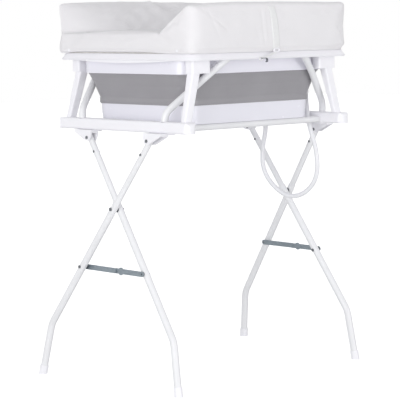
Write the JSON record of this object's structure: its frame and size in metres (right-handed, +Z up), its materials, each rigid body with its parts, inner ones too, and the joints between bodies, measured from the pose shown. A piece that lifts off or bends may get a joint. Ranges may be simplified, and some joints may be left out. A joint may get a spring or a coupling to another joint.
{
  "type": "changing table with bathtub",
  "caption": "Padded changing top with raised sides over a soft-walled bathtub, in a ring frame on crossed folding legs with a looped drain hose.",
  "frame": {"origin": "on the floor, below the middle of the table", "axes": "+X towards the end with the head bolster, +Y away from the side with the strap, +Z up"},
  "size_m": [0.8552, 0.5804, 1.0783],
  "materials": {
    "white_paint": "satin",
    "white_plastic": "satin",
    "tub_white": "gloss",
    "grey_rubber": "matte",
    "strip_steel": "galvanised",
    "dark_steel": "dark",
    "mat_cover": "soft",
    "strap_web": "woven",
    "hose_pvc": "satin",
    "board": "raw"
  },
  "bodies": {
    "frame": {"beam_end_caps": "white_plastic", "front_left_brace": "white_paint", "front_left_corner_block": "white_plastic", "front_left_post": "white_plastic", "front_rail": "white_paint", "front_right_brace": "white_paint", "front_right_corner_block": "white_plastic", "front_right_post": "white_plastic", "left_end_beam": "white_paint", "left_fixed_bracket": "white_plastic", "rear_left_brace": "white_paint", "rear_left_corner_block": "white_plastic", "rear_left_post": "white_plastic", "rear_rail": "white_paint", "rear_right_brace": "white_paint", "rear_right_corner_block": "white_plastic", "rear_right_post": "white_plastic", "right_end_beam": "white_paint", "right_fixed_bracket": "white_plastic", "strap_elastic": "strap_web", "strap_hook": "dark_steel", "tub_ring": "white_plastic"},
    "tub": {"tub_rim": "tub_white", "tub_wall": "grey_rubber", "hose_socket": "white_plastic"},
    "tub_base": {"tub_base": "tub_white", "drain_fitting": "white_plastic", "drain_hose": "hose_pvc"},
    "drain_plug": {"drain_plug": "grey_rubber"},
    "mat": {"mat_board": "board", "mat_pad": "mat_cover", "front_bolster": "mat_cover", "rear_bolster": "mat_cover", "head_bolster": "mat_cover", "mat_strap": "strap_web", "strap_ring": "white_plastic", "mat_studs": "white_plastic"},
    "left_outer_leg": {"left_outer_upper_tube": "white_paint", "left_outer_lower_tube": "white_paint", "left_outer_foot_cap": "white_plastic", "left_outer_fasteners": "dark_steel"},
    "left_inner_leg": {"left_inner_upper_tube": "white_paint", "left_inner_lower_tube": "white_paint", "left_inner_foot_cap": "white_plastic", "left_inner_fasteners": "dark_steel"},
    "left_slider": {"left_sliding_bracket": "white_plastic"},
    "left_outer_link": {"left_outer_strip_link": "strip_steel"},
    "left_inner_link": {"left_inner_strip_link": "strip_steel"},
    "right_outer_leg": {"right_outer_upper_tube": "white_paint", "right_outer_lower_tube": "white_paint", "right_outer_foot_cap": "white_plastic", "right_outer_fasteners": "dark_steel"},
    "right_inner_leg": {"right_inner_upper_tube": "white_paint", "right_inner_lower_tube": "white_paint", "right_inner_foot_cap": "white_plastic", "right_inner_fasteners": "dark_steel"},
    "right_slider": {"right_sliding_bracket": "white_plastic"},
    "right_outer_link": {"right_outer_strip_link": "strip_steel"},
    "right_inner_link": {"right_inner_strip_link": "strip_steel"}
  },
  "joints": [
    {"name": "left_leg_fold", "type": "hinge", "parent": "frame", "child": "left_outer_leg", "pos_m": [-0.331, -0.1345, 0.692], "axis": [-0.9965, 0, 0.0839], "range_deg": [0, 24]},
    {"name": "left_leg_cross", "type": "hinge", "parent": "left_outer_leg", "child": "left_inner_leg", "pos_m": [-0.3475, 0, 0.496], "axis": [-0.9965, 0, 0.0839], "range_deg": [-48, 0]},
    {"name": "left_slider_hinge", "type": "hinge", "parent": "left_inner_leg", "child": "left_slider", "pos_m": [-0.331, 0.1345, 0.692], "axis": [-0.9965, 0, 0.0839], "range_deg": [0, 24]},
    {"name": "left_outer_link_hinge", "type": "hinge", "parent": "left_outer_leg", "child": "left_outer_link", "pos_m": [-0.36198, 0.11803, 0.324], "axis": [-0.9965, 0, 0.0839], "range_deg": [0, 38.93]},
    {"name": "left_inner_link_hinge", "type": "hinge", "parent": "left_outer_link", "child": "left_inner_link", "pos_m": [-0.36198, -0.006, 0.324], "axis": [-0.9965, 0, 0.0839], "range_deg": [-143.27, 0]},
    {"name": "right_leg_fold", "type": "hinge", "parent": "frame", "child": "right_outer_leg", "pos_m": [0.331, -0.1345, 0.692], "axis": [-0.9965, 0, -0.0839], "range_deg": [0, 24]},
    {"name": "right_leg_cross", "type": "hinge", "parent": "right_outer_leg", "child": "right_inner_leg", "pos_m": [0.3475, 0, 0.496], "axis": [-0.9965, 0, -0.0839], "range_deg": [-48, 0]},
    {"name": "right_slider_hinge", "type": "hinge", "parent": "right_inner_leg", "child": "right_slider", "pos_m": [0.331, 0.1345, 0.692], "axis": [-0.9965, 0, -0.0839], "range_deg": [0, 24]},
    {"name": "right_outer_link_hinge", "type": "hinge", "parent": "right_outer_leg", "child": "right_outer_link", "pos_m": [0.36198, 0.11803, 0.324], "axis": [-0.9965, 0, -0.0839], "range_deg": [0, 38.93]},
    {"name": "right_inner_link_hinge", "type": "hinge", "parent": "right_outer_link", "child": "right_inner_link", "pos_m": [0.36198, -0.006, 0.324], "axis": [-0.9965, 0, -0.0839], "range_deg": [-143.27, 0]},
    {"name": "tub_lift", "type": "slide", "parent": "frame", "child": "tub", "axis": [0, 0, 1], "range_m": [0, 0.02]},
    {"name": "tub_collapse", "type": "slide", "parent": "tub", "child": "tub_base", "axis": [0, 0, 1], "range_m": [0, 0.06], "deforming": ["tub_wall", "drain_hose"]},
    {"name": "plug_pull", "type": "slide", "parent": "tub_base", "child": "drain_plug", "axis": [0, 0, 1], "range_m": [0, 0.03]},
    {"name": "mat_lift", "type": "slide", "parent": "tub", "child": "mat", "axis": [0, 0, 1], "range_m": [0, 0.25]}
  ],
  "couplings": [
    {"joint": "left_leg_cross", "follows": "left_leg_fold", "ratio": -2},
    {"joint": "left_slider_hinge", "follows": "left_leg_fold", "ratio": 1},
    {"joint": "left_outer_link_hinge", "follows": "left_leg_fold", "ratio": 1.6221},
    {"joint": "left_inner_link_hinge", "follows": "left_leg_fold", "ratio": -5.9696},
    {"joint": "right_leg_cross", "follows": "right_leg_fold", "ratio": -2},
    {"joint": "right_slider_hinge", "follows": "right_leg_fold", "ratio": 1},
    {"joint": "right_outer_link_hinge", "follows": "right_leg_fold", "ratio": 1.6221},
    {"joint": "right_inner_link_hinge", "follows": "right_leg_fold", "ratio": -5.9696}
  ]
}
